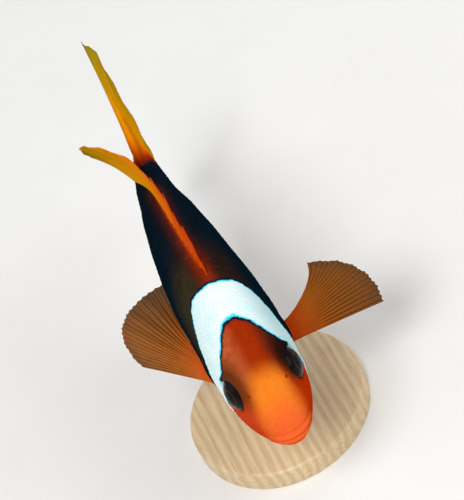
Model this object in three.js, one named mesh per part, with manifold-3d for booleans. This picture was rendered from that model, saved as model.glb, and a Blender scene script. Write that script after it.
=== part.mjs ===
// A life-size clownfish, Amphiprion melanopus, swimming level above a small museum stand.
//
// Millimetres, +Z up. The head points along -Y, so the fish's left side is +X. The origin is the
// centre of the stand's underside. Shape tables and functions use the fish's own frame: "along" is
// the distance back from the snout, "side" the distance to the fish's left and "up" the height
// above the snout, all as shares of the standard length.

import * as THREE from "three";
import { mergeVertices } from "three/addons/utils/BufferGeometryUtils.js";
import Module from "manifold-3d";

const wasm = await Module();
wasm.setup();

// ---- Driving dimensions ----

const STANDARD_LENGTH = 84; // snout to the root of the tail fin's rays
const SNOUT_HEIGHT = 38; // above the floor
const BALANCE = 0.5; // the share of the standard length that stands over the origin
const GAP = 0.3; // between neighbouring pieces

const EYE = { along: 0.135, up: 0.077, radius: 3.75, depth: 2.3, bulge: 0.75 };
const BASE = { radius: 20, height: 5, bevel: 0.8 };
const ROD_RADIUS = 1.5;
const BELLY_INSIDE = -0.15; // a height inside the belly, where the rod's blank ends

const SIDES_OF_BODY = 28;
const RINGS_OF_BODY = 32;

// ---- The body's form ----

// Rows from the lips to the tail's root: along, back's height, belly's height, half the width, and
// how sharp the back and belly ridges are (1 is an ellipse).
const STATIONS = [
  [0.0, 0.0, 0.0, 0.0, 1.0], // between the lips
  [0.01, 0.036, -0.03, 0.03, 1.0], // lips
  [0.038, 0.085, -0.066, 0.053, 1.0], // chin
  [0.09, 0.142, -0.112, 0.077, 1.0], // front of the eye
  [0.16, 0.19, -0.158, 0.098, 1.0], // back of the eye
  [0.25, 0.232, -0.2, 0.107, 1.04], // nape
  [0.36, 0.261, -0.228, 0.1095, 1.1], // dorsal fin's start
  [0.48, 0.266, -0.238, 0.1065, 1.14], // deepest
  [0.6, 0.245, -0.226, 0.0975, 1.14], // anal fin's start
  [0.72, 0.2, -0.182, 0.0855, 1.1],
  [0.82, 0.15, -0.126, 0.0725, 1.05],
  [0.91, 0.111, -0.085, 0.057, 1.0], // tail stem
  [0.99, 0.096, -0.073, 0.045, 1.0], // tail fin's rays start
  [1.065, 0.098, -0.073, 0.032, 1.0], // scaly root of the tail fin
  [1.12, 0.088, -0.062, 0.021, 1.0],
  [1.16, 0.05, -0.026, 0.01, 1.0],
  [1.17, 0.011, 0.011, 0.0, 1.0],
];
const WIDEST_SHARE = 0.53; // how high in each section the body is widest

// Catmull-Rom through the stations. Ahead of the lips the curve is mirrored, so the snout is round.
function station(t) {
  const last = STATIONS.length - 1;
  const i = Math.min(Math.floor(t), last - 1);
  const f = t - i;
  const row = (k) => STATIONS[Math.min(k, last)];
  const before = i > 0 ? row(i - 1) : [row(1)[0], -row(1)[1], -row(1)[2], -row(1)[3], row(1)[4]];
  const mix = (k) => {
    const [a, b, c, d] = [before[k], row(i)[k], row(i + 1)[k], row(i + 2)[k]];
    return b + 0.5 * f * (c - a + f * (2 * a - 5 * b + 4 * c - d + f * (3 * (b - c) + d - a)));
  };
  return { along: mix(0), back: mix(1), belly: mix(2), width: Math.max(mix(3), 0), ridge: mix(4) };
}

function stationAt(along) {
  let low = 0;
  let high = STATIONS.length - 1;
  for (let n = 0; n < 40; n++) {
    const middle = (low + high) / 2;
    if (station(middle).along < along) low = middle;
    else high = middle;
  }
  return station(low);
}

// The body's half width at a height, by the same section as the mesh.
function halfWidth(along, up) {
  const s = stationAt(along);
  const widest = s.belly + (s.back - s.belly) * WIDEST_SHARE;
  const reach = up > widest ? s.back - widest : widest - s.belly;
  const c = Math.min(Math.abs(up - widest) / reach, 1);
  return s.width * Math.pow(1 - c * c, s.ridge / 2);
}

// The rear of the body swings slightly to the fish's right, and the tail back to its left.
const bend = (along) =>
  0.012 * THREE.MathUtils.smoothstep(along, 0.93, 1.12) - 0.009 * THREE.MathUtils.smoothstep(along, 0.3, 0.6);

// From the fish's frame to the part's.
function place(along, side, up) {
  return new THREE.Vector3(
    (side + bend(along)) * STANDARD_LENGTH,
    (along - BALANCE) * STANDARD_LENGTH,
    SNOUT_HEIGHT + up * STANDARD_LENGTH,
  );
}

// ---- Solids ----

function toSolid(geometry) {
  const bare = geometry.clone();
  bare.deleteAttribute("normal");
  bare.deleteAttribute("uv");
  const merged = mergeVertices(bare, 1e-4);
  const make = (triVerts) =>
    new wasm.Manifold(
      new wasm.Mesh({ numProp: 3, vertProperties: merged.attributes.position.array, triVerts }),
    );
  const triangles = new Uint32Array(merged.index.array);
  const solid = make(triangles);
  return solid.volume() > 0 ? solid : make(triangles.map((_, i) => triangles[i - (i % 3) + [0, 2, 1][i % 3]]));
}

function toGeometry(solid) {
  const mesh = solid.getMesh();
  const geometry = new THREE.BufferGeometry();
  geometry.setAttribute("position", new THREE.BufferAttribute(mesh.vertProperties, 3));
  geometry.setIndex(new THREE.BufferAttribute(mesh.triVerts, 1));
  return geometry;
}

// A sphere's rings and sides, moved out to the body's stations. grow is in millimetres.
function bodySolid(grow = 0) {
  const extra = grow / STANDARD_LENGTH;
  const geometry = new THREE.SphereGeometry(1, SIDES_OF_BODY, RINGS_OF_BODY);
  const { position, uv } = geometry.attributes;
  for (let i = 0; i < position.count; i++) {
    const t = (1 - uv.getY(i)) * (STATIONS.length - 1);
    const s = station(Math.min(t, STATIONS.length - 1 - 1e-9));
    const pole = t < 1e-6 || t > STATIONS.length - 1 - 1e-6;
    const angle = pole ? 0 : uv.getX(i) * 2 * Math.PI;
    const widest = s.belly + (s.back - s.belly) * WIDEST_SHARE;
    const reach = (Math.cos(angle) > 0 ? s.back - widest : widest - s.belly) + extra;
    const side = Math.sign(Math.sin(angle)) * (s.width + extra) * Math.abs(Math.sin(angle)) ** s.ridge;
    const ends = t < 1e-6 ? -extra : t > STATIONS.length - 1 - 1e-6 ? extra : 0;
    const p = place(s.along + ends, pole ? 0 : side, widest + (pole ? 0 : reach * Math.cos(angle)));
    position.setXYZ(i, p.x, p.y, p.z);
  }
  return toSolid(geometry);
}

// A prism right through the fish whose outline, in side view, is a list of [along, up] or a curve.
function sidePrism(points, fromSide = -0.5, toSide = 0.5) {
  const shape = new THREE.Shape(points.map(([along, up]) => new THREE.Vector2(along, up)));
  const geometry = new THREE.ExtrudeGeometry(shape, { depth: toSide - fromSide, bevelEnabled: false });
  const position = geometry.attributes.position;
  for (let i = 0; i < position.count; i++) {
    const p = place(position.getX(i), fromSide + position.getZ(i), position.getY(i));
    position.setXYZ(i, p.x, p.y, p.z);
  }
  return toSolid(geometry);
}

// An eyeball: an ellipsoid turned to the head's surface, on one side. grow is in millimetres.
function eyeSolid(side, grow = 0) {
  const surface = (along, up) => place(along, side * halfWidth(along, up), up);
  const step = 0.02;
  const centre = surface(EYE.along, EYE.up);
  const back = surface(EYE.along + step, EYE.up).sub(surface(EYE.along - step, EYE.up));
  const rise = surface(EYE.along, EYE.up + step).sub(surface(EYE.along, EYE.up - step));
  const outward = new THREE.Vector3().crossVectors(back, rise).normalize();
  if (outward.x * side < 0) outward.negate();
  const geometry = new THREE.SphereGeometry(1, 18, 10);
  geometry.scale(EYE.radius + grow, EYE.radius + grow, EYE.depth + grow);
  geometry.applyQuaternion(new THREE.Quaternion().setFromUnitVectors(new THREE.Vector3(0, 0, 1), outward));
  centre.addScaledVector(outward, EYE.bulge - EYE.depth);
  geometry.translate(centre.x, centre.y, centre.z);
  return toSolid(geometry);
}

// ---- Fins ----

const lerp = THREE.MathUtils.lerp;
const smooth = THREE.MathUtils.smoothstep;

// A fin is a thin curved plate. ray(u) gives its ray at u, from 0 to 1 along the root, as a
// function from v, 0 at the root and 1 at the tip, to [along, side, up]. Its edge dips between
// rays by notch(u), a share of their length.
function finSolid({ ray, rays, notch, steps = 3, rootThickness = 1.6, edgeThickness = 0.55 }) {
  const columns = 2 * (rays - 1);
  const geometry = new THREE.BoxGeometry(1, 1, 1, columns, steps, 1);
  const position = geometry.attributes.position;
  const at = (u, v) => place(...ray(u)(v));
  const small = 1e-3;
  for (let i = 0; i < position.count; i++) {
    const u = position.getX(i) + 0.5;
    const v = position.getY(i) + 0.5;
    const between = Math.round(u * columns) % 2 === 1;
    const reach = between ? v * (1 - notch(u)) : v;
    const alongFin = at(Math.min(u + small, 1), reach).sub(at(Math.max(u - small, 0), reach));
    const alongRay = at(u, reach + small).sub(at(u, reach - small));
    const normal = new THREE.Vector3().crossVectors(alongFin, alongRay).normalize();
    const half = lerp(rootThickness, edgeThickness, Math.min(1.6 * v, 1)) / 2;
    const p = at(u, reach).addScaledVector(normal, Math.sign(position.getZ(i)) * half);
    position.setXYZ(i, p.x, p.y, p.z);
  }
  return toSolid(geometry);
}

// A ray that leaves its root at an angle in the median plane and sways to one side on its way out.
// curl adds more, by where the point is.
function medianRay({ root, length, back, sign, sway, curl = () => 0 }) {
  return (v) => {
    const along = root[0] + length * v * Math.sin(back);
    const up = root[1] + sign * length * v * Math.cos(back);
    return [along, sway * Math.max(v, 0) ** 1.4 + curl(along, up) * smooth(v, 0, 0.3), up];
  };
}

const SUNK = 0.02; // how far inside the body a fin's root starts

// Dorsal fin: ten spines that lean slightly left, then seventeen soft rays, lying back more and more,
// whose rear lobe curls to the right about an axis that leans forward.
const DORSAL = { from: 0.318, to: 0.885, spines: 10, softRays: 17 };
const SPINY_SHARE = 0.43; // the share of the dorsal fin's root under the spines
const CURL = { reach: 0.17, from: 0.61, to: 0.94, power: 2.4, lean: THREE.MathUtils.degToRad(48) };

function lobeCurl(along, up) {
  const behind = along * Math.sin(CURL.lean) + up * Math.cos(CURL.lean);
  return -CURL.reach * Math.max((behind - CURL.from) / (CURL.to - CURL.from), 0) ** CURL.power;
}

function dorsalRay(f) {
  const along = lerp(DORSAL.from, DORSAL.to, f);
  const spiny = Math.min(f / SPINY_SHARE, 1);
  const soft = Math.max((f - SPINY_SHARE) / (1 - SPINY_SHARE), 0);
  const spineLength = 0.05 + 0.085 * Math.sin(Math.min(spiny * 1.9, 1) * (Math.PI / 2));
  const softLength = 0.094 * Math.sin(0.82 * Math.PI * soft ** 0.8);
  return medianRay({
    root: [along, stationAt(along).back - SUNK],
    length: SUNK + spineLength + softLength,
    back: THREE.MathUtils.degToRad(32 + 13 * spiny + 36 * soft),
    sign: 1,
    sway: 0.014 * smooth(spiny, -0.5, 0.5) + 0.009 * smooth(soft, 0, 0.15) - 0.016 * soft,
    curl: lobeCurl,
  });
}

// Anal fin: two spines and fourteen soft rays.
const ANAL = { from: 0.62, to: 0.875, rays: 16 };

function analRay(f) {
  const along = lerp(ANAL.from, ANAL.to, f);
  return medianRay({
    root: [along, stationAt(along).belly + SUNK],
    length: SUNK + 0.045 + 0.115 * Math.sin(Math.PI * Math.min(0.12 + 0.66 * f, 1)),
    back: THREE.MathUtils.degToRad(28 + 34 * f),
    sign: -1,
    sway: 0.012 * f,
  });
}

// Tail fin: seventeen rays that fan from the stem to two long corners. The fin is slightly cupped:
// its inner rays swing further to the left than its outer ones.
const TAIL = { rays: 17, rootAlong: 0.99, rootUp: 0.011, rootHalf: 0.077, corner: 0.268 };
const TAIL_SWING = { inner: 0.032, outer: 0.011 };

function tailRay(f) {
  const q = 1 - 2 * f;
  const root = [TAIL.rootAlong + 0.02 * (1 - q * q), TAIL.rootUp + TAIL.rootHalf * q];
  const tip = [1.3 + 0.055 * q * q, TAIL.rootUp + TAIL.corner * (Math.sin(q * 1.25) / Math.sin(1.25))];
  const swing = lerp(TAIL_SWING.inner, TAIL_SWING.outer, smooth(Math.abs(q), 0.75, 1));
  return (v) => [lerp(root[0], tip[0], v), swing * Math.max(v, 0) ** 1.5, lerp(root[1], tip[1], v)];
}

// A paired fin's rays run from its front edge to its rear edge. Each of the three [along, side, up]
// reaches says where a ray ends, from its own root: the front one, the middle one and the rear one.
// The fin is cupped upwards by cup, and bow curves its rear rays sideways at mid length.
function pairedRay({ frontRoot, rearRoot, front, middle, rear, cup = 0, bow = [0, 0, 0] }) {
  return (f) => {
    const weights = [(1 - f) * (1 - 2 * f), 4 * f * (1 - f), f * (2 * f - 1)];
    const root = frontRoot.map((value, k) => lerp(value, rearRoot[k], f));
    const reach = front.map((value, k) => weights[0] * value + weights[1] * middle[k] + weights[2] * rear[k]);
    const bowed = (v) => bow.map((value) => value * f * f * 4 * v * (1 - v));
    return (v) => [
      root[0] + reach[0] * v + bowed(v)[0],
      root[1] + reach[1] * v + bowed(v)[1],
      root[2] + reach[2] * v + bowed(v)[2] + cup * Math.sin(Math.PI * v) * Math.sin(Math.PI * f),
    ];
  };
}

// Pectoral fins: nineteen rays each. The left one is spread square to the body with its long upper
// rays forward. The right one is swept back with its upper rays nearest the body.
const PECTORAL_RAYS = 19;
const leftPectoral = pairedRay({
  frontRoot: [0.325, 0.089, -0.052],
  rearRoot: [0.344, 0.094, -0.013],
  front: [0.029, 0.263, -0.066],
  middle: [0.095, 0.246, -0.01],
  rear: [0.124, 0.142, 0.028],
  cup: 0.009,
  bow: [0.003, 0.032, -0.004],
});
const rightPectoral = pairedRay({
  frontRoot: [0.327, -0.084, -0.079],
  rearRoot: [0.346, -0.1, -0.013],
  front: [0.166, -0.156, 0.032],
  middle: [0.237, -0.138, 0.084],
  rear: [0.299, -0.003, 0.037],
  cup: -0.005,
  bow: [0.034, -0.01, -0.024],
});

// Pelvic fins: a spine and five soft rays each, trailing under the breast.
const PELVIC_RAYS = 6;
const pelvic = (side) =>
  pairedRay({
    frontRoot: [0.305, side * 0.018, -0.185],
    rearRoot: [0.33, side * 0.03, -0.19],
    front: [0.13, side * 0.045, -0.13],
    middle: [0.2, side * 0.05, -0.13],
    rear: [0.15, side * 0.015, -0.075],
  });

// ---- Parting the body ----

const arc = (from, bend, to, n = 14) =>
  new THREE.QuadraticBezierCurve(
    new THREE.Vector2(...from),
    new THREE.Vector2(...bend),
    new THREE.Vector2(...to),
  )
    .getPoints(n)
    .map((p) => [p.x, p.y]);

const gapShare = GAP / STANDARD_LENGTH;

// The head ends at the gill opening, an arc from the nape to the throat.
function headPrism(further) {
  const edge = arc([0.275 + further, 0.3], [0.375 + further, 0.0], [0.19 + further, -0.3]);
  return sidePrism([...edge, [-0.1, -0.3], [-0.1, 0.3]]);
}

// The gill cover: an oval on the cheek, from the skin to a flat inner face.
function coverPrism(side, grow) {
  const oval = new THREE.EllipseCurve(0.243, -0.03, 0.056 + grow, 0.118 + grow, 0, 2 * Math.PI, false, 0.1);
  const points = oval.getPoints(24).slice(0, -1).map((p) => [p.x, p.y]);
  const inner = 0.062 - grow;
  return side > 0 ? sidePrism(points, inner, 0.5) : sidePrism(points, -0.5, -inner);
}

const MOUTH_CORNER = [0.05, -0.016];

function upperLipPrism(grow) {
  return sidePrism([
    [-0.1, -0.004 - grow],
    [MOUTH_CORNER[0] + grow, MOUTH_CORNER[1] - grow],
    ...arc([MOUTH_CORNER[0] + 0.008 + grow, 0], [0.04 + grow, 0.034 + grow], [-0.1, 0.034 + grow], 8),
  ]);
}

function lowerJawPrism(grow) {
  const lip = grow ? 0 : -gapShare;
  return sidePrism([
    [-0.1, -0.004 + lip],
    [MOUTH_CORNER[0] + grow, MOUTH_CORNER[1] + lip],
    ...arc([0.065 + grow, -0.03], [0.105 + grow, -0.07], [0.115 + grow, -0.3], 8),
    [-0.1, -0.3],
  ]);
}

const TAIL_STEM_FROM = 0.89;
const tailPrism = (from) =>
  sidePrism([
    [from, -0.3],
    [1.3, -0.3],
    [1.3, 0.3],
    [from, 0.3],
  ]);

const body = bodySolid();
const grownBody = bodySolid(GAP);
const sockets = [1, -1].map((side) => eyeSolid(side, GAP));
const covers = [1, -1].map((side) => coverPrism(side, gapShare));
const subtractAll = (solid, cutters) => cutters.reduce((left, cutter) => left.subtract(cutter), solid);

const head = subtractAll(body.intersect(headPrism(0)), [
  ...covers,
  ...sockets,
  upperLipPrism(gapShare),
  lowerJawPrism(gapShare),
]);
const upperLip = body.intersect(upperLipPrism(0));
const lowerJaw = body.intersect(lowerJawPrism(0));
const rearOfHead = subtractAll(body, [headPrism(gapShare), ...covers]);
const trunk = rearOfHead.subtract(tailPrism(TAIL_STEM_FROM - gapShare));
const tailStem = rearOfHead.intersect(tailPrism(TAIL_STEM_FROM));

// ---- The stand ----

function standBase() {
  const { radius, height, bevel } = BASE;
  const profile = [
    [0, 0],
    [radius - bevel / 2, 0],
    [radius, bevel / 2],
    [radius, height - bevel],
    [radius - bevel * 0.3, height - bevel * 0.3],
    [radius - bevel, height],
    [0, height],
  ].map(([r, z]) => new THREE.Vector2(r, z));
  const geometry = new THREE.LatheGeometry(profile, 40);
  geometry.rotateX(Math.PI / 2);
  return toSolid(geometry);
}

function standRod() {
  const foot = BASE.height + GAP;
  const height = place(BALANCE, 0, BELLY_INSIDE).z - foot;
  const geometry = new THREE.CylinderGeometry(ROD_RADIUS, ROD_RADIUS, height, 20);
  geometry.rotateX(Math.PI / 2);
  geometry.translate(0, 0, foot + height / 2);
  return toSolid(geometry).subtract(grownBody);
}

// ---- The model ----

const BLACK = { color: 0x14110f, roughness: 0.45, metalness: 0 };
const ORANGE = { color: 0xd9480f, roughness: 0.4, metalness: 0 };
const FIN_ORANGE = { color: 0xd9610f, roughness: 0.45, metalness: 0 };
const FIN_YELLOW = { color: 0xe09a10, roughness: 0.45, metalness: 0 };
const EYE_DARK = { color: 0x0a0d14, roughness: 0.08, metalness: 0 };
const WOOD = { color: 0xcdb48c, roughness: 0.5, metalness: 0 };
const STEEL = { color: 0xb8babd, roughness: 0.3, metalness: 1 };

const fish = new THREE.Group();

function add(name, solid, look) {
  const mesh = new THREE.Mesh(toGeometry(solid), new THREE.MeshStandardMaterial(look));
  mesh.name = name;
  fish.add(mesh);
}

function addFin(name, ray, rays, look, options = {}) {
  const plate = finSolid({ ray, rays, notch: () => 0.03, ...options });
  add(name, plate.subtract(grownBody), look);
}

add("head", head, ORANGE);
add("upper_lip", upperLip, ORANGE);
add("lower_jaw", lowerJaw, ORANGE);
add("trunk", trunk, BLACK);
add("tail_stem", tailStem, BLACK);
[
  ["left", 1],
  ["right", -1],
].forEach(([name, side]) => {
  add(`gill_cover_${name}`, body.intersect(coverPrism(side, 0)), ORANGE);
  add(`eye_${name}`, eyeSolid(side), EYE_DARK);
  addFin(`pelvic_fin_${name}`, pelvic(side), PELVIC_RAYS, BLACK, { notch: () => 0.06 });
});

const spineGap = 0.004; // between the spiny and the soft dorsal fin, as a share of their root
addFin("dorsal_fin_spiny", (u) => dorsalRay(u * (SPINY_SHARE - spineGap)), DORSAL.spines, ORANGE, {
  notch: () => 0.13,
  steps: 3,
});
addFin(
  "dorsal_fin_soft",
  (u) => dorsalRay(lerp(SPINY_SHARE + spineGap, 1, u)),
  DORSAL.softRays,
  FIN_ORANGE,
);
addFin("anal_fin", analRay, ANAL.rays, BLACK);
addFin("tail_fin", tailRay, TAIL.rays, FIN_YELLOW);
addFin("pectoral_fin_left", leftPectoral, PECTORAL_RAYS, FIN_ORANGE, { rootThickness: 2.6 });
addFin("pectoral_fin_right", rightPectoral, PECTORAL_RAYS, FIN_ORANGE, { rootThickness: 2.6 });

add("stand_base", standBase(), WOOD);
add("stand_rod", standRod(), STEEL);

export default fish;
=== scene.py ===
"""Looks of the life-size clownfish on its stand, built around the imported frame.

The fish's own frame: "along" is the distance back from the snout, "side" the distance to its left
and "up" the height above the snout, all as shares of the standard length (SL). Small details are
given in millimetres times MM. Angles round the body run from the back (0) over the left flank.
"""

import math

import bpy
import numpy as np
from mathutils import Matrix, Vector

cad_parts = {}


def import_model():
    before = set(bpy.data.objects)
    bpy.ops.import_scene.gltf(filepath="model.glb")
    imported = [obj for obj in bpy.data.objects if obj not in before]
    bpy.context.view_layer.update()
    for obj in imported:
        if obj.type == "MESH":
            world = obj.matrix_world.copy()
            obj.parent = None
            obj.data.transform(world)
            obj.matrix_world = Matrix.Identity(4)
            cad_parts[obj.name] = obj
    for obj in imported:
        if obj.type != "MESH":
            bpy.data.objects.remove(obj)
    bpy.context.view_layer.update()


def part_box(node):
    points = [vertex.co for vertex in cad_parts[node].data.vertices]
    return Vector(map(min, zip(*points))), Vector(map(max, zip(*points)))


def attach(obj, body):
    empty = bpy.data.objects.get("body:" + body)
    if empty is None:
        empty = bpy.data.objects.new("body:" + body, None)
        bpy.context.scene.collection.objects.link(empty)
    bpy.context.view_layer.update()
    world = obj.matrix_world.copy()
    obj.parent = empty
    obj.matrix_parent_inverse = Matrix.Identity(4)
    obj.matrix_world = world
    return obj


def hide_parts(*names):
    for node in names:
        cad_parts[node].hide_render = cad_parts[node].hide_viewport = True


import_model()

FLESH = ("head", "upper_lip", "lower_jaw", "gill_cover_left", "gill_cover_right", "trunk", "tail_stem")
LEFT, RIGHT = 1, -1
SIDE_NAMES = {LEFT: "left", RIGHT: "right"}

# ---- The body's form: the same stations as the solids ----

# along, back's height, belly's height, half the width, sharpness of the back and belly ridges
STATIONS = np.array([
    (0, 0, 0, 0, 1),
    (0.01, 0.036, -0.03, 0.03, 1),
    (0.038, 0.085, -0.066, 0.053, 1),
    (0.09, 0.142, -0.112, 0.077, 1),
    (0.16, 0.19, -0.158, 0.098, 1),
    (0.25, 0.232, -0.2, 0.107, 1.04),
    (0.36, 0.261, -0.228, 0.1095, 1.1),
    (0.48, 0.266, -0.238, 0.1065, 1.14),
    (0.6, 0.245, -0.226, 0.0975, 1.14),
    (0.72, 0.2, -0.182, 0.0855, 1.1),
    (0.82, 0.15, -0.126, 0.0725, 1.05),
    (0.91, 0.111, -0.085, 0.057, 1),
    (0.99, 0.096, -0.073, 0.045, 1),
    (1.065, 0.098, -0.073, 0.032, 1),
    (1.12, 0.088, -0.062, 0.021, 1),
    (1.16, 0.05, -0.026, 0.01, 1),
    (1.17, 0.011, 0.011, 0, 1),
])
LAST_STATION = len(STATIONS) - 1
WIDEST_SHARE = 0.53  # the widest level, from belly to back
STEM_END = STATIONS[-1][0]

# radius across, radius in depth, and how far it stands out of the flank: in mm
EYE = {"along": 0.135, "up": 0.077, "radius": 3.75, "depth": 2.3, "bulge": 0.6}

# The tail fin: its roots run from "root" at the edges to "middle_root" and are "half" above and below
# "up"; the rays end at "end", the outer ones "longer", as far as "corner" above and below. They
# swing to the left, the inner ones further than the outer ones, the more the further out.
TAIL = {
    "root": 0.99, "middle_root": 1.01, "up": 0.011, "half": 0.077,
    "end": 1.3, "longer": 0.055, "corner": 0.268,
    "inner_swing": 0.032, "outer_swing": 0.011, "power": 1.5,
}

snout_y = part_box("upper_lip")[0].y
SL = (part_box("tail_stem")[1].y - snout_y) / STEM_END
snout_z = (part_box("tail_fin")[0].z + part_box("tail_fin")[1].z) / 2 - TAIL["up"] * SL
MM = 0.001 / SL
COAT_DEPTH = 0.12 * MM  # the skin lies this far inside the smooth body, to leave room for scales


def smooth(low, high, x):
    """0 at low, 1 at high, with eased ends; low may be above high."""
    f = np.clip((x - low) / (high - low), 0, 1)
    return f * f * (3 - 2 * f)


def bump(x, centre, width):
    return np.exp(-(((x - centre) / width) ** 2))


def lerp(a, b, f):
    return a + (b - a) * f


def curve(x, points):
    """A smooth curve through (x, y) points with rising x."""
    xs, ys = np.array(points, float).T
    slopes = np.gradient(ys, xs)
    x = np.clip(x, xs[0], xs[-1])
    i = np.clip(np.searchsorted(xs, x, side="right") - 1, 0, len(xs) - 2)
    gap = xs[i + 1] - xs[i]
    f = (x - xs[i]) / gap
    start = ys[i] * (1 + 2 * f) * (1 - f) ** 2 + slopes[i] * gap * f * (1 - f) ** 2
    return start + ys[i + 1] * f * f * (3 - 2 * f) - slopes[i + 1] * gap * f * f * (1 - f)


def grid(rows, columns):
    return np.meshgrid(rows, columns, indexing="ij")


def circle(count):
    """Even steps of angle all the way round."""
    return np.linspace(0, 2 * math.pi, count, endpoint=False)


def unit(v):
    return v / np.maximum(np.linalg.norm(v, axis=-1, keepdims=True), 1e-12)


def bend(along):
    """The rear of the body swings slightly to the fish's right, and the tail back to its left."""
    return 0.012 * smooth(0.93, 1.12, along) - 0.009 * smooth(0.3, 0.6, along)


def world(p):
    """From the fish's frame to the row's, in metres."""
    along, side, up = np.moveaxis(np.asarray(p, float), -1, 0)
    return np.stack([(side + bend(along)) * SL, snout_y + along * SL, snout_z + up * SL], -1)


def station(t):
    """Catmull-Rom through the stations, mirrored ahead of the lips so that the snout is round."""
    t = np.clip(t, 0, LAST_STATION - 1e-9)
    i = t.astype(int)
    f = (t - i)[..., None]
    mirrored = STATIONS[1] * (1, -1, -1, -1, 1)
    a = np.where((i > 0)[..., None], STATIONS[np.maximum(i - 1, 0)], mirrored)
    b, c = STATIONS[i], STATIONS[i + 1]
    d = STATIONS[np.minimum(i + 2, LAST_STATION)]
    return b + 0.5 * f * (c - a + f * (2 * a - 5 * b + 4 * c - d + f * (3 * (b - c) + d - a)))


def section(t, angle):
    """The smooth body's points, before any detail."""
    along, back, belly, width, ridge = np.moveaxis(station(t), -1, 0)
    widest = belly + (back - belly) * WIDEST_SHARE
    reach = np.where(np.cos(angle) > 0, back - widest, widest - belly)
    side = np.sign(np.sin(angle)) * np.maximum(width, 0) * np.abs(np.sin(angle)) ** ridge
    return np.stack([along, side, widest + reach * np.cos(angle)], -1)


def section_normal(t, angle):
    """The smooth body's outward direction; just inside its two ends it is kept steady."""
    step = 0.01
    inner = np.clip(t, 3 * step, LAST_STATION - 3 * step)
    back = section(inner + step, angle) - section(inner - step, angle)
    around = section(inner, angle + step) - section(inner, angle - step)
    return unit(np.cross(back, around))


def t_at(along):
    """The station parameter at a distance from the snout."""
    fine = np.linspace(0, LAST_STATION, 3000)
    return np.interp(along, station(fine)[:, 0], fine)


def flank_angle(along, up):
    """The angle on the left flank at a height."""
    _, back, belly, _, _ = station(t_at(along))
    widest = belly + (back - belly) * WIDEST_SHARE
    reach = back - widest if up > widest else widest - belly
    return math.acos(np.clip((up - widest) / reach, -1, 1))


# ---- Eye frames ----


def eye_frame(side):
    """Centre of the eyeball, its outward axis and two directions across it, in the fish's frame."""
    t = t_at(EYE["along"])
    angle = side * flank_angle(EYE["along"], EYE["up"])
    outward = section_normal(t, angle)
    up = unit(np.array([0, 0, 1]) - outward * outward[2])
    return section(t, angle), outward, np.cross(up, outward) * side, up


EYE_FRAMES = {side: eye_frame(side) for side in (LEFT, RIGHT)}


def from_eye(p, centre, outward):
    """Offsets from an eye in mm, and how far they go along its axis and across it."""
    offset = (p - centre) / MM
    axial = offset @ outward
    return offset, axial, np.sqrt(np.maximum((offset**2).sum(-1) - axial**2, 0))


# ---- Surface detail of the skin ----

MOUTH_CORNER = 4.5  # mm behind the snout
GILL_TOP, GILL_BOTTOM = 0.09, -0.205
ORBIT = 3.62  # mm, the opening's radius
NOSTRIL = {"along": 0.083, "up": 0.104}


def gill_edge(up):
    """How far back the gill cover's rear edge is, at a height."""
    return 0.302 - 1.55 * (up + 0.02) ** 2


def mouth_height(along):
    """The closed mouth's line: it drops from the snout's tip towards the corner."""
    return -0.3 * MM - 0.24 * along


def cheek_distance(along, up):
    """Millimetres outside the preopercle's rounded rear and lower edge, and the angle round it."""
    x, z = (along - 0.118) / 0.088, (up + 0.02) / 0.092
    return (np.hypot(x, z) - 1) * 0.09 / MM, np.arctan2(z, x)


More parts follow.
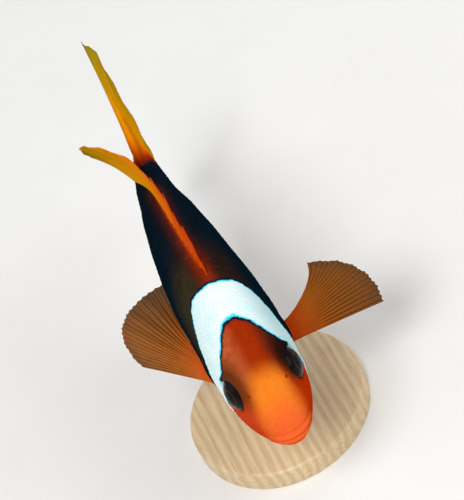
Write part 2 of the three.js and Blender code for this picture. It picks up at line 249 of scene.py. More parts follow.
def relief(p):
    """How far the skin stands off the smooth body, as a share of SL."""
    along, side, up = np.moveaxis(p, -1, 0)
    flank = np.abs(side)
    a, u = along / MM, up / MM

    # lips round the closed mouth
    line = (up - mouth_height(along)) / MM
    mouth = smooth(MOUTH_CORNER + 0.35, MOUTH_CORNER - 0.5, a)
    lips = 0.34 * bump(line, 0.72, 0.5) + 0.32 * bump(line, -0.7, 0.5)
    folds = 0.2 * bump(line, 1.65, 0.3) + 0.16 * bump(line, -1.6, 0.3)
    depth = mouth * (lips - folds - 0.62 * bump(line, 0, 0.17))
    jaw_fold = bump(a, MOUTH_CORNER + 0.5, 0.3) * smooth(-4.4, -1.2, u) * smooth(0.9, -0.3, u)
    depth -= 0.22 * jaw_fold * smooth(0.02, 0.035, flank)

    # chin and throat: the two jaw bones meet in a shallow groove
    throat = smooth(0.02, 0.05, along) * smooth(0.24, 0.15, along) * (up < 0)
    depth -= throat * (0.35 * bump(flank / MM, 0, 0.7) + 0.16 * bump(flank / MM, 2.3, 0.45))

    # one nostril on each side
    nostril = np.hypot(along - NOSTRIL["along"], up - NOSTRIL["up"]) / MM
    depth += (flank > 0.02) * (0.16 * bump(nostril, 0.62, 0.24) - 0.5 * bump(nostril, 0, 0.3))

    # orbits
    for side_sign, (centre, outward, _, rise) in EYE_FRAMES.items():
        offset, axial, across = from_eye(p, centre, outward)
        near = (side * side_sign > 0) & (np.abs(axial) < 6)
        above = np.clip(offset @ rise / 4, -1, 1)
        ring = (0.3 + 0.1 * above) * bump(across, ORBIT + 0.55, 0.42)
        ring -= 0.16 * bump(across, ORBIT + 1.7, 0.5)
        socket = -2.2 * smooth(ORBIT + 0.1, ORBIT - 0.35, across)
        depth += near * (ring + socket)

    # bony edges of the cheek
    distance, round_angle = cheek_distance(along, up)
    toothed = distance + 0.1 * np.sin(round_angle * 55)
    reach = smooth(1.05, 0.75, np.abs(round_angle + 0.35) / 1.4)
    edge = 0.17 * bump(distance, -0.45, 0.4) - 0.3 * bump(toothed, 0.12, 0.2)
    depth += edge * reach * (flank > 0.03)

    # gill cover's free edge over the gill opening
    behind = (along - gill_edge(up)) / MM
    below_top = smooth(GILL_TOP + 0.012, GILL_TOP - 0.012, up)
    open_share = below_top * smooth(GILL_BOTTOM, GILL_BOTTOM + 0.03, up)
    flap = 0.34 * smooth(-2.4, -0.25, behind) * smooth(0.12, -0.02, behind)
    slit = 0.75 * bump(behind, 0.3, 0.2)
    depth += open_share * (flap - slit)

    # shoulder that carries the pectoral fin
    shoulder = np.hypot((along - 0.338) / 0.026, (up + 0.035) / 0.05)
    depth += 0.55 * bump(shoulder, 0, 0.85) * (flank > 0.05)

    # scaly sheaths at the dorsal and anal fins' roots
    over_dorsal = smooth(0.3, 0.335, along) * smooth(0.92, 0.86, along) * (up > 0)
    depth += 0.75 * over_dorsal * bump(side / MM, 0, 1.25)
    over_anal = smooth(0.6, 0.64, along) * smooth(0.91, 0.86, along) * (up < 0)
    depth += 0.7 * over_anal * bump(side / MM, 0, 1.15)

    # breast where the pelvic fins join
    pelvic = np.hypot((along - 0.315) / 0.03, (flank - 0.028) / 0.018)
    depth += 0.4 * bump(pelvic, 0, 0.8) * (up < -0.15)

    # slow unevenness of living flesh
    depth += 0.05 * np.sin(0.55 * a + 0.231 * u) * np.sin(0.43 * u + 0.07 * a)
    return depth * MM


def skin_points(t, angle, lift=0):
    """Points on the detailed skin, or lifted off it by a share of SL."""
    base = section(t, angle)
    p = base + section_normal(t, angle) * (relief(base) - COAT_DEPTH + lift)[..., None]
    # the stem's end follows the tail fin's swing and narrows by as much, so both its flanks end alike
    fin_share = (p[..., 0] - TAIL["middle_root"]) / (TAIL["end"] - TAIL["middle_root"])
    swing = TAIL["inner_swing"] * np.maximum(fin_share, 0) ** TAIL["power"]
    half_width = np.maximum(station(t)[..., 3], 1e-6)
    p[..., 1] = swing + p[..., 1] * np.clip(1 - swing / half_width, 0.05, 1)
    return p


# ---- Markings, shared by the skin and the scales ----


def srgb(code):
    """A six-figure sRGB code as linear red, green and blue."""
    values = np.array([int(code[i : i + 2], 16) / 255 for i in (0, 2, 4)])
    return np.where(values <= 0.04045, values / 12.92, ((values + 0.055) / 1.055) ** 2.4)


SNOUT_PINK = srgb("e8602c")
FOREHEAD = srgb("e67b20")
# cheek colours: the left one darker than the right as painted shade
CHEEK_LEFT_SHADED = srgb("b02401")
CHEEK_RIGHT_LIT = srgb("c23a1c")
NAPE = srgb("942a06")
# the nape's next two colours: lighter on the right flank as painted light, darker on the left as
# painted shade
NAPE_LIT = srgb("b4522a")
NAPE_SHADED = srgb("421c14")
BLACK = srgb("051823")
BACK_BROWN = srgb("2c1a10")
BACK_OLIVE = srgb("38321f")
GLOW = srgb("7a240c")
SHEATH = srgb("c44e10")
BREAST = srgb("b83c0a")
FIN_BASE_RED = srgb("a8380c")
STEM_RED = srgb("a82a06")
STEM_ORANGE = srgb("ee7c08")
STEM_YELLOW = srgb("cc8806")

# Dusky skin above and behind each eye: its width in mm, its width ahead of the eye, how strong
# it is, and its colour.
DUSK = {LEFT: (6, 2.7, 0.92, srgb("1c0f0a")), RIGHT: (6.5, 4.8, 0.8, srgb("34200a"))}

# The white bar's margins: up, along. Its lower half, like the belly, follows the species.
BAR_FRONT = [
    (-0.24, 0.163), (-0.18, 0.157), (-0.1, 0.156), (-0.04, 0.157), (0.01, 0.159), (0.05, 0.163),
    (0.09, 0.168), (0.13, 0.172), (0.17, 0.184), (0.2, 0.203), (0.225, 0.226), (0.27, 0.257),
]
BAR_REAR = [
    (-0.24, 0.225), (-0.18, 0.232), (-0.1, 0.238), (-0.02, 0.238), (0.05, 0.242), (0.1, 0.253),
    (0.14, 0.28), (0.17, 0.304), (0.2, 0.322), (0.225, 0.326), (0.25, 0.32), (0.28, 0.305),
]
BAR_SKEW = 0.0065  # the rear margin is further back on the right flank than on the left

# The red breast's upper edge: along, up.
BREAST_EDGE = [(0.2, -0.085), (0.33, -0.105), (0.43, -0.14), (0.54, -0.178), (0.64, -0.215)]


def bar_margins(p):
    """Millimetres behind the bar's front margin, and ahead of its rear one."""
    along, side, up = np.moveaxis(p, -1, 0)
    skew = BAR_SKEW * np.clip(side / 0.05, -1, 1) * smooth(0, 0.1, up)
    front = (along - curve(up, BAR_FRONT)) / MM
    rear = (curve(up, BAR_REAR) - skew - along) / MM
    return front, rear


def over(base, *layers):
    """A colour, or one for each point, with layers on it: their colours and shares at the points."""
    for colour, share in layers:
        base = lerp(base, colour, np.clip(share, 0, 1)[..., None])
    return base


def ground_colour(p):
    """The skin's colour away from the bar."""
    along, side, up = np.moveaxis(p, -1, 0)
    flank = np.abs(side)
    back_height = np.interp(along, STATIONS[:, 0], STATIONS[:, 1])

    brow = smooth(0.074, 0.026, flank) * smooth(-0.02, 0.05, up)
    # the nape lighter towards the right flank and darker towards the left: painted light and painted
    # shade
    nape_lit_and_shaded = over(
        NAPE, (NAPE_LIT, smooth(-0.002, -0.04, side)), (NAPE_SHADED, smooth(0.015, 0.07, side))
    )
    # the face is paler on top and redder down the sides, partly its own colour and partly painted
    # shade; the left cheek darker than the right is painted shade
    face = over(
        CHEEK_LEFT_SHADED,
        (CHEEK_RIGHT_LIT, smooth(0.03, -0.03, side)),
        (FOREHEAD, 0.06 + 0.94 * brow),
        (SNOUT_PINK, smooth(0.065, 0.005, along)),
        (nape_lit_and_shaded, smooth(0.068, 0.122, along) * smooth(0.03, 0.12, up)),
    )
    for side_sign, (centre, outward, _, rise) in EYE_FRAMES.items():
        offset, _, across = from_eye(p, centre, outward)
        upward = offset @ rise / np.maximum(across, 1e-6)
        above = smooth(-0.6, 0.5, upward + 0.5 * smooth(0.12, 0.17, along))
        behind, ahead, strength, dusk = DUSK[side_sign]
        width = lerp(ahead, behind, smooth(0.1, 0.15, along))
        round_eye = smooth(ORBIT + width, ORBIT + 0.1 * width, across) * (side * side_sign > 0)
        face = over(face, (dusk, strength * round_eye * above))
    face = over(face, (BREAST, 0.6 * smooth(-0.06, -0.14, up)))

    below_back = back_height - up
    brown = smooth(0.1, 0.02, below_back) * lerp(1, 0.1, smooth(0.36, 0.55, along))
    olive = smooth(0.5, 0.34, along) * smooth(0.2, 0.08, below_back) * smooth(0, -0.05, side)
    near_fin = smooth(0.29, 0.33, along) * smooth(0.93, 0.8, along) * (up > 0)
    near_fin *= smooth(0.05, 0, below_back)
    glow = bump(flank / MM, 0.2, 1.6) * lerp(1, 0.45, smooth(0.36, 0.55, along))
    sheath = bump(side / MM, -0.1, 0.3) * smooth(0.33, 0.42, along)
    ragged = 0.006 * np.sin(41 * along + 1.3) + 0.004 * np.sin(97 * along)
    under_edge = curve(along, BREAST_EDGE) + ragged - up
    shoulder = smooth(1.5, 0.75, np.hypot((along - 0.336) / 0.02, (up + 0.035) / 0.036))
    on_stem = along - 0.022 * smooth(0.01, 0.035, flank)
    body = over(
        BLACK,
        (BACK_BROWN, 0.8 * brown),
        (BACK_OLIVE, 0.8 * olive),
        (GLOW, near_fin * glow),
        (SHEATH, 0.65 * near_fin * sheath),
        (BREAST, smooth(-0.028, 0.03, under_edge) * smooth(0.68, 0.6, along)),
        (FIN_BASE_RED, 0.9 * shoulder * (flank > 0.05)),
        (STEM_RED, smooth(0.995, 1.035, on_stem)),
        (STEM_ORANGE, smooth(1.025, 1.075, on_stem)),
        (STEM_YELLOW, smooth(1.075, 1.15, along)),
    )

    bar_middle = (curve(up, BAR_FRONT) + curve(up, BAR_REAR)) / 2
    return np.where((along < bar_middle)[..., None], face, body)


# ---- Making meshes ----


def make_piece(name, points, faces, material, replaced, values=None, colours=None, uv=None):
    """A piece from world points and rows of corner numbers, with numbers and colours at the points
    and a place in OFBake for every corner.
    """
    mesh = bpy.data.meshes.new(name)
    mesh.from_pydata(points.tolist(), [], faces.tolist(), shade_flat=False)
    for key, numbers in (values or {}).items():
        layer = mesh.attributes.new(key, "FLOAT", "POINT")
        layer.data.foreach_set("value", numbers.astype(np.float32).ravel())
    if colours is not None:
        layer = mesh.attributes.new("ground", "FLOAT_COLOR", "POINT")
        opaque = np.insert(colours, 3, 1, axis=1).astype(np.float32)
        layer.data.foreach_set("color", opaque.ravel())
    if uv is not None:
        layer = mesh.uv_layers.new(name="OFBake")
        layer.data.foreach_set("uv", uv.astype(np.float32).ravel())
    mesh.validate()
    mesh.materials.append(material)
    piece = bpy.data.objects.new(name, mesh)
    bpy.context.scene.collection.objects.link(piece)
    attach(piece, "root")
    if replaced:
        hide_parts(*replaced)


def grid_faces(rows, columns, closed=False):
    """Quads over a grid of points; closed joins its last column to its first."""
    strips = columns if closed else columns - 1
    r, c = grid(np.arange(rows - 1), np.arange(strips))
    here = r * columns + c
    right = r * columns + (c + 1) % columns
    return np.stack([here, right, right + columns, here + columns], -1).reshape(-1, 4)


# ---- An unwrap of the skin: across is the way back along the body, up is the way round it ----

FINE_T = np.linspace(0, LAST_STATION, 700)
FINE_ANGLE = np.linspace(0, math.pi, 241)
fine_points = section(*grid(FINE_T, FINE_ANGLE))
ring_steps = np.linalg.norm(np.diff(fine_points, axis=1), axis=-1)
ring_arcs = np.concatenate([np.zeros((len(FINE_T), 1)), np.cumsum(ring_steps, 1)], 1)
RING_LENGTH = ring_arcs[:, -1]
SHARES = np.linspace(0, 1, 201)
ANGLE_OF_SHARE = np.array(
    [np.interp(SHARES * max(row[-1], 1e-9), row, FINE_ANGLE) for row in ring_arcs]
)
back_steps = np.linalg.norm(np.diff(fine_points, axis=0), axis=-1).mean(1)
BACK_ARC = np.concatenate([[0], np.cumsum(back_steps)])
# the arc from the back down to the widest level, where rows of scales start
LATERAL_ARC = np.array([np.interp(math.pi / 2, FINE_ANGLE, row) for row in ring_arcs])


def angle_at(t, share):
    """The angle at a share of the way from back to belly, at t."""
    row = np.clip(t / LAST_STATION * (len(FINE_T) - 1), 0, len(FINE_T) - 1.001)
    column = np.clip(share, 0, 1) * (len(SHARES) - 1.001)
    i, j = row.astype(int), column.astype(int)
    f, g = row - i, column - j
    near = lerp(ANGLE_OF_SHARE[i, j], ANGLE_OF_SHARE[i, j + 1], g)
    far = lerp(ANGLE_OF_SHARE[i + 1, j], ANGLE_OF_SHARE[i + 1, j + 1], g)
    return lerp(near, far, f)


def share_at(t, height):
    """The share of the way from back to belly, at t, of a height above the widest level."""
    return (np.interp(t, FINE_T, LATERAL_ARC) - height) / np.interp(t, FINE_T, RING_LENGTH)


def unwrap(t, share, side):
    """OFBake's place for a point: the left flank fills the lower half, the right the upper."""
    u = 0.01 + 0.98 * np.interp(t, FINE_T, BACK_ARC) / BACK_ARC[-1]
    half = 0.01 + 0.485 * np.clip(share, 0, 1)
    return np.stack([u, np.where(side > 0, half, 1 - half)], -1)


# ---- Skin ----

SKIN_COLUMNS = 360
HEAD_RINGS, BODY_RINGS = 150, 120


def build_skin(material):
    """The skin, whose rings of points are closest on the head."""
    snout = np.linspace(0.02, 0.9, 14, endpoint=False)
    to_gill = t_at(np.linspace(STATIONS[1][0] * 0.93, 0.33, HEAD_RINGS, endpoint=False))
    rest = t_at(np.linspace(0.33, STEM_END - 0.012, BODY_RINGS))
    rings = np.unique([*snout, *to_gill, *rest, LAST_STATION - 0.35, LAST_STATION - 0.05])
    t, angle = grid(rings, circle(SKIN_COLUMNS))
    p = skin_points(t, angle).reshape(-1, 3)
    base = section(t, angle).reshape(-1, 3)
    front, rear = bar_margins(base)
    quads = grid_faces(len(rings), SKIN_COLUMNS, closed=True)

    # the corner over the back belongs to the right flank's end of the unwrap
    column = np.tile([0, 1, 1, 0], (len(quads), 1)) + (np.arange(len(quads)) % SKIN_COLUMNS)[:, None]
    side = np.where(quads[:, :1] % SKIN_COLUMNS < SKIN_COLUMNS // 2, LEFT, RIGHT)
    share = np.minimum(column, SKIN_COLUMNS - column) * 2 / SKIN_COLUMNS
    uv = unwrap(rings[quads // SKIN_COLUMNS], share, side)
    values = {"front": front, "rear": rear, "edge": np.zeros(len(p)), "tone": np.full(len(p), 0.5)}
    make_piece("skin", world(p), quads, material, FLESH, values, ground_colour(base), uv)


# ---- Scales ----

SCALE_UV = 0.003  # a scale's size in OFBake
# sizes in mm, and between which distances from the snout the scales lie
BODY_SCALE = {
    "pitch": 0.86, "rise": 2.3, "length": 2.25, "width": 2.35, "lift": 0.13, "from": 0.315, "to": 1.163
}
HEAD_SCALE = {
    "pitch": 0.62, "rise": 1.62, "length": 1.6, "width": 1.64, "lift": 0.07, "from": 0.1, "to": 0.325
}
SCALE_STEPS, SCALE_COLUMNS = 8, 9
SCALE_RIM = 0.14  # mm, how deep a scale's rim is sunk into the skin

# The front edge of the scaly skin: up, along.
BARE_SNOUT = [
    (-0.25, 0.19), (-0.15, 0.165), (-0.07, 0.125), (-0.02, 0.115),
    (0.06, 0.14), (0.14, 0.135), (0.2, 0.12),
]


def scaly_margin(p):
    """Millimetres inside the scaly skin; negative on the snout, lips, orbits and gill slit."""
    along, side, up = np.moveaxis(p, -1, 0)
    margin = (along - curve(up, BARE_SNOUT)) / MM
    for side_sign, (centre, outward, _, _) in EYE_FRAMES.items():
        _, _, across = from_eye(p, centre, outward)
        around = np.minimum(margin, across - ORBIT - 1.2)
        margin = np.where(side * side_sign > 0.02, around, margin)
    behind = (along - gill_edge(up)) / MM
    slit = np.maximum(-1.2 - behind, behind - 0.3)
    return np.where(up < GILL_TOP, np.minimum(margin, slit), margin)


def scale_roots(side, size):
    """A staggered lattice over one flank: the way back and the rise above the widest level, in SL."""
    pitch, rise = size["pitch"] * MM, size["rise"] * MM
    i, j = np.mgrid[: int((size["to"] - size["from"]) / pitch), -30:31].reshape(2, -1)
    along = size["from"] + i * pitch
    height = (j + 0.5 * (i % 2)) * rise
    t = t_at(along)
    share = share_at(t, height)
    margin = scaly_margin(section(t, side * angle_at(t, share)))
    keep = (share > 0.012) & (share < 0.985) & (margin > 0)
    return along[keep], height[keep], margin[keep]


def scale_shape():
    """One scale's points: shares of the way back and across, its rim, and how near that they are."""
    v, u = grid(np.linspace(0, 1, SCALE_STEPS), np.linspace(-1, 1, SCALE_COLUMNS))
    back = np.minimum(v / 0.93, 1)
    across = np.clip(u / 0.9, -1, 1)
    width = np.sqrt(np.clip(1 - (np.abs(back - 0.42) / 0.72) ** 2.4, 0, 1))
    x = back * (1 - 0.2 * across**2 * back)
    y = across * width
    rim = (v > 0.97) | (np.abs(u) > 0.97)
    edge = np.clip(np.maximum(back, np.abs(across)) ** 3, 0, 1)
    return [numbers.ravel() for numbers in (x, y, rim, edge)]


def build_scales(name, side, size, material, seed):
    """All scales of one size on one flank, as one piece."""
    rng = np.random.default_rng(seed)
    along, height, margin = scale_roots(side, size)
    x, y, rim, edge = scale_shape()
    count = len(along)
    firm = smooth(0, 3, margin)[:, None]  # scales are smaller and flatter where they give out
    grow = rng.uniform(0.95, 1.05, (count, 1)) * (0.75 + 0.25 * firm)
    shrink = 1 - 0.25 * smooth(0.8, 1.05, along) - 0.35 * smooth(1.07, 1.16, along)
    here = along[:, None] + x * size["length"] * MM * grow * shrink[:, None]
    rise = height[:, None] + y * size["width"] / 2 * MM * grow
    rise += rng.uniform(-0.06, 0.06, (count, 1)) * x * size["width"] * MM
    t = t_at(here)
    angle = side * angle_at(t, share_at(t, rise))
    tilt = rng.uniform(0.85, 1.2, (count, 1))
    lift = (-0.06 + (size["lift"] + 0.06) * x * tilt * (0.5 + 0.5 * firm) + 0.02 * (1 - y**2)) * MM
    lift = np.where(rim, -SCALE_RIM * MM, lift)
    p = skin_points(t, angle, lift).reshape(-1, 3)
    base = section(t, angle).reshape(-1, 3)
    front, rear = bar_margins(base)

    quads = grid_faces(SCALE_STEPS, SCALE_COLUMNS)
    if side > 0:
        quads = quads[:, ::-1]
    faces = (quads[None] + np.arange(count)[:, None, None] * len(x)).reshape(-1, 4)
    root_t = t_at(along)
    root = unwrap(root_t, share_at(root_t, height), side)
    patch = root[:, None] + np.stack([x - 0.5, y / 2], -1)[None] * SCALE_UV
    uv = patch.reshape(-1, 2)[faces]
    tone = np.repeat(rng.uniform(0, 1, count), len(x))
    values = {"front": front, "rear": rear, "edge": np.tile(edge, count), "tone": tone}
    make_piece(name, world(p), faces, material, (), values, ground_colour(base), uv)


# ---- Node materials ----


def fill(tree, filled, inputs):
    """Sets a node's inputs, or links them where they come from another node."""
    for key, value in inputs.items():
        if isinstance(value, bpy.types.NodeSocket):
            tree.links.new(value, filled.inputs[key])
        else:
            filled.inputs[key].default_value = value


def node(tree, kind, inputs, **settings):
    """A new node of the type ShaderNode plus kind."""
    made = tree.nodes.new("ShaderNode" + kind)
    for key, value in settings.items():
        setattr(made, key, value)
    fill(tree, made, inputs)
    return made


def maths(tree, operation, a, b=0):
    return node(tree, "Math", {0: a, 1: b}, operation=operation).outputs[0]


def between(tree, value, low, high, to_low=0, to_high=1):
    """A smooth step of a value."""
    inputs = {"Value": value, "From Min": low, "From Max": high, "To Min": to_low, "To Max": to_high}
    return node(tree, "MapRange", inputs, interpolation_type="SMOOTHSTEP").outputs[0]


def blend(tree, share, a, b):
    """Colour a, or b where the share is 1."""
    return node(tree, "Mix", {0: share, 6: a, 7: b}, data_type="RGBA").outputs[2]


def reading(tree, name, output="Fac"):
    """A number or colour that make_piece stored at the mesh's points."""
    return node(tree, "Attribute", {}, attribute_name=name).outputs[output]


def place(tree, stretch=(1, 1, 1), offset=0):
    """Object coordinates in metres, each times its stretch, moved by the offset."""
    where = node(tree, "TexCoord", {}).outputs["Object"]
    inputs = {"Vector": where, "Location": (offset,) * 3, "Scale": stretch}
    return node(tree, "Mapping", inputs).outputs[0]


def noise(tree, scale, detail, roughness=0.5, where=None):
    inputs = {"Vector": where or place(tree), "Scale": scale, "Detail": detail, "Roughness": roughness}
    return node(tree, "TexNoise", inputs).outputs["Fac"]


def rgba(code):
    """A six-figure sRGB code as the linear colour of a node."""
    return (*srgb(code), 1)


def mottled_ground(tree, scale, share, colour):
    """The ground colour with clouds of another."""
    clouds = between(tree, noise(tree, scale, 4, 0.6), 0.4, 0.8, 0, share)
    return blend(tree, clouds, reading(tree, "ground", "Color"), colour)


def bump_normal(tree, height, distance, strength):
    """The normal of bumps; a height of 1 is the distance, in metres."""
    inputs = {"Height": height, "Distance": distance, "Strength": strength}
    return node(tree, "Bump", inputs).outputs[0]


def new_material(name):
    material = bpy.data.materials.new(name)
    material.use_nodes = True
    return material, material.node_tree


def shaded(material, **inputs):
    """The material, with its shader's inputs filled."""
    tree = material.node_tree
    inputs = {key.replace("_", " "): value for key, value in inputs.items()}
    fill(tree, tree.nodes["Principled BSDF"], inputs)
    return material


BAR_WHITE = rgba("e4f4f5")
BAR_SHADE = rgba("c6eef2")
# painted shade: the bar turns greyer towards the left flank
BAR_SHADED_GREY = rgba("a4ccd2")  # on the left flank
BAR_CYAN = rgba("3fd0e4")
BAR_NAVY = rgba("06122a")
# each scale's rim: painted sheen on the black skin, painted shade in the creases on the orange and
# white
SCALE_RIM_SHEEN_AND_SHADE = (0.016, 0.024, 0.033, 1)
SKIN_MOTTLE = (0.002, 0.001, 0.001, 1)
FIN_MOTTLE = (0.02, 0.008, 0.003, 1)
FIN_BARS = (0.02, 0.01, 0.005, 1)  # faint bars across the rays


def skin_material():
    material, tree = new_material("painted_skin")
    ground = mottled_ground(tree, 900, 0.14, SKIN_MOTTLE)
    tone = between(tree, reading(tree, "tone"), 0, 1, 0.9, 1.12)
    scaled = node(tree, "VectorMath", {0: ground, 3: tone}, operation="SCALE").outputs[0]

    wobble = maths(tree, "MULTIPLY", maths(tree, "SUBTRACT", noise(tree, 420, 3, 0.6), 0.5), 1.3)
    front = maths(tree, "ADD", reading(tree, "front"), wobble)
    rear = maths(tree, "ADD", reading(tree, "rear"), wobble)
    inside = maths(tree, "MINIMUM", front, rear)
    clouds = between(tree, noise(tree, 260, 2, 0.5, place(tree, offset=3)), 0.35, 0.7, 0, 0.5)
    white = blend(tree, clouds, BAR_WHITE, BAR_SHADE)
    # the bar greyer towards the left flank: painted shade
    from_middle = node(tree, "SeparateXYZ", {0: place(tree)}).outputs[0]
    white = blend(tree, between(tree, from_middle, 0.03 * SL, 0.09 * SL, 0, 0.6), white, BAR_SHADED_GREY)
    white = blend(tree, between(tree, inside, 0.55, 0.1), white, BAR_CYAN)
    outline = between(tree, inside, -0.75, -0.2)
    painted = blend(tree, outline, scaled, BAR_NAVY)
    painted = blend(tree, between(tree, inside, -0.1, 0.12), painted, white)
    # the scales' rims: painted sheen on black, painted crease shade on the pale colours
    rim = between(tree, reading(tree, "edge"), 0.55, 1, 0, 0.27)
    painted = blend(tree, rim, painted, SCALE_RIM_SHEEN_AND_SHADE)

    rough = between(tree, noise(tree, 1500, 3), 0.2, 0.8, 0.26, 0.4)
    normal = bump_normal(tree, noise(tree, 6000, 3, 0.6), 0.00006, 0.5)
    return shaded(
        material, Base_Color=painted, Roughness=rough, Specular_IOR_Level=0, Normal=normal
    )


# ---- Fins ----

SUNK = 0.02  # how deep the dorsal and anal fins' roots lie in the body
# "spiny" is the share of the dorsal fin's root under its spines
DORSAL = {"from": 0.318, "to": 0.885, "spines": 10, "rays": 17, "spiny": 0.43}
ANAL = {"from": 0.62, "to": 0.875, "rays": 16}
TAIL_RAYS, PECTORAL_RAYS, PELVIC_RAYS = 17, 19, 6
# the lobe's curl starts at "from" and has its full reach at "to", both measured square to its axis
CURL = {"reach": 0.17, "from": 0.61, "to": 0.94, "power": 2.4, "lean": math.radians(48)}


def median_ray(root_along, root_up, length, back, sign, sway, v):
    """A ray from the median plane that sways to one side, at the shares v of its length."""
    along = root_along + length * v * np.sin(back)
    up = root_up + sign * length * v * np.cos(back)
    return np.stack([along, sway * np.maximum(v, 0) ** 1.4, up], -1)


def edge_height(along, column):
    """The height of the back (column 1) or the belly (column 2)."""
    return station(t_at(along))[..., column]


def lobe_curl(along, up):
    """The dorsal fin's rear lobe curls to the right about an axis that leans forward."""
    behind = along * math.sin(CURL["lean"]) + up * math.cos(CURL["lean"])
    share = np.maximum((behind - CURL["from"]) / (CURL["to"] - CURL["from"]), 0)
    return -CURL["reach"] * share ** CURL["power"]


def dorsal_ray(f, v):
    along = lerp(DORSAL["from"], DORSAL["to"], f)
    spiny = np.minimum(f / DORSAL["spiny"], 1)
    soft = np.maximum((f - DORSAL["spiny"]) / (1 - DORSAL["spiny"]), 0)
    spine_length = 0.05 + 0.085 * np.sin(np.minimum(spiny * 1.9, 1) * math.pi / 2)
    soft_length = 0.094 * np.sin(0.82 * math.pi * soft**0.8)
    back = np.radians(32 + 13 * spiny + 36 * soft)
    sway = 0.014 * smooth(-0.5, 0.5, spiny) + 0.009 * smooth(0, 0.15, soft) - 0.016 * soft
    length = SUNK + spine_length + soft_length
    p = median_ray(along, edge_height(along, 1) - SUNK, length, back, 1, sway, v)
    p[..., 1] += lobe_curl(p[..., 0], p[..., 2]) * smooth(0, 0.3, v)
    return p


def anal_ray(f, v):
    along = lerp(ANAL["from"], ANAL["to"], f)
    length = SUNK + 0.045 + 0.115 * np.sin(math.pi * np.minimum(0.12 + 0.66 * f, 1))
    back = np.radians(28 + 34 * f)
    return median_ray(along, edge_height(along, 2) + SUNK, length, back, -1, 0.012 * f, v)


def tail_ray(f, v):
    q = 1 - 2 * f  # 1 at the upper edge, -1 at the lower one
    root_along = lerp(TAIL["middle_root"], TAIL["root"], q * q)
    tip_up = TAIL["up"] + TAIL["corner"] * np.sin(q * 1.25) / math.sin(1.25)
    swing = lerp(TAIL["inner_swing"], TAIL["outer_swing"], smooth(0.75, 1, np.abs(q)))
    along = lerp(root_along, TAIL["end"] + TAIL["longer"] * q * q, v)
    up = lerp(TAIL["up"] + TAIL["half"] * q, tip_up, v)
    return np.stack([along, swing * np.maximum(v, 0) ** TAIL["power"], up], -1)


def paired_ray(roots, reaches, cup=0, bow=(0, 0, 0)):
    """A paired fin's rays: (along, side, up) of its first and last roots, and the first, middle and
    last rays' reaches from their roots. cup lifts the middle rays' middles, bow shifts the last ones'.
    """
    first_root, last_root = np.array(roots)
    first, middle, last = np.array(reaches)

    def ray(f, v):
        f, v = f[..., None], v[..., None]
        reach = (1 - f) * (1 - 2 * f) * first + 4 * f * (1 - f) * middle + f * (2 * f - 1) * last
        p = lerp(first_root, last_root, f) + reach * v + np.array(bow) * f * f * 4 * v * (1 - v)
        p[..., 2:] += cup * np.sin(math.pi * v) * np.sin(math.pi * f)
        return p

    return ray


left_pectoral = paired_ray(
    [(0.325, 0.089, -0.052), (0.344, 0.094, -0.013)],
    [(0.029, 0.263, -0.066), (0.095, 0.246, -0.01), (0.124, 0.142, 0.028)],
    cup=0.009,
    bow=(0.003, 0.032, -0.004),
)
right_pectoral = paired_ray(
    [(0.327, -0.084, -0.079), (0.346, -0.1, -0.013)],
    [(0.166, -0.156, 0.032), (0.237, -0.138, 0.084), (0.299, 0.004, 0.037)],
    cup=-0.005,
    bow=(0.034, -0.004, -0.024),
)


def pelvic_ray(side):
    return paired_ray(
        [(0.305, side * 0.018, -0.185), (0.33, side * 0.03, -0.19)],
        [(0.13, side * 0.045, -0.13), (0.2, side * 0.05, -0.13), (0.15, side * 0.015, -0.075)],
    )


RAY_COLUMNS = 16  # columns of points between two rays


def ray_ridge(phase, v, spread, spines):
    """How strongly a point belongs to a ray; a ray forks twice on its way out, a spine doesn't."""
    near = np.minimum(phase, 1 - phase)
    signed = np.where(phase < 0.5, phase, phase - 1)
    if spines:
        return bump(near, 0, spread * 1.3)
    first = 0.21 * smooth(0.25, 0.9, v)
    second = 0.1 * smooth(0.55, 1, v)
    forks = [bump(signed, a * first + b * second, spread) for a in (-1, 1) for b in (-1, 1)]
    return np.max(forks, axis=0)


MEMBRANE = 0.09  # mm, a fin's thickness between its rays
EDGE_THICKNESS = 0.1  # mm, a ray's at its tip
RAGGED = 0.006  # how much shorter than its neighbours a ray can be, as a share


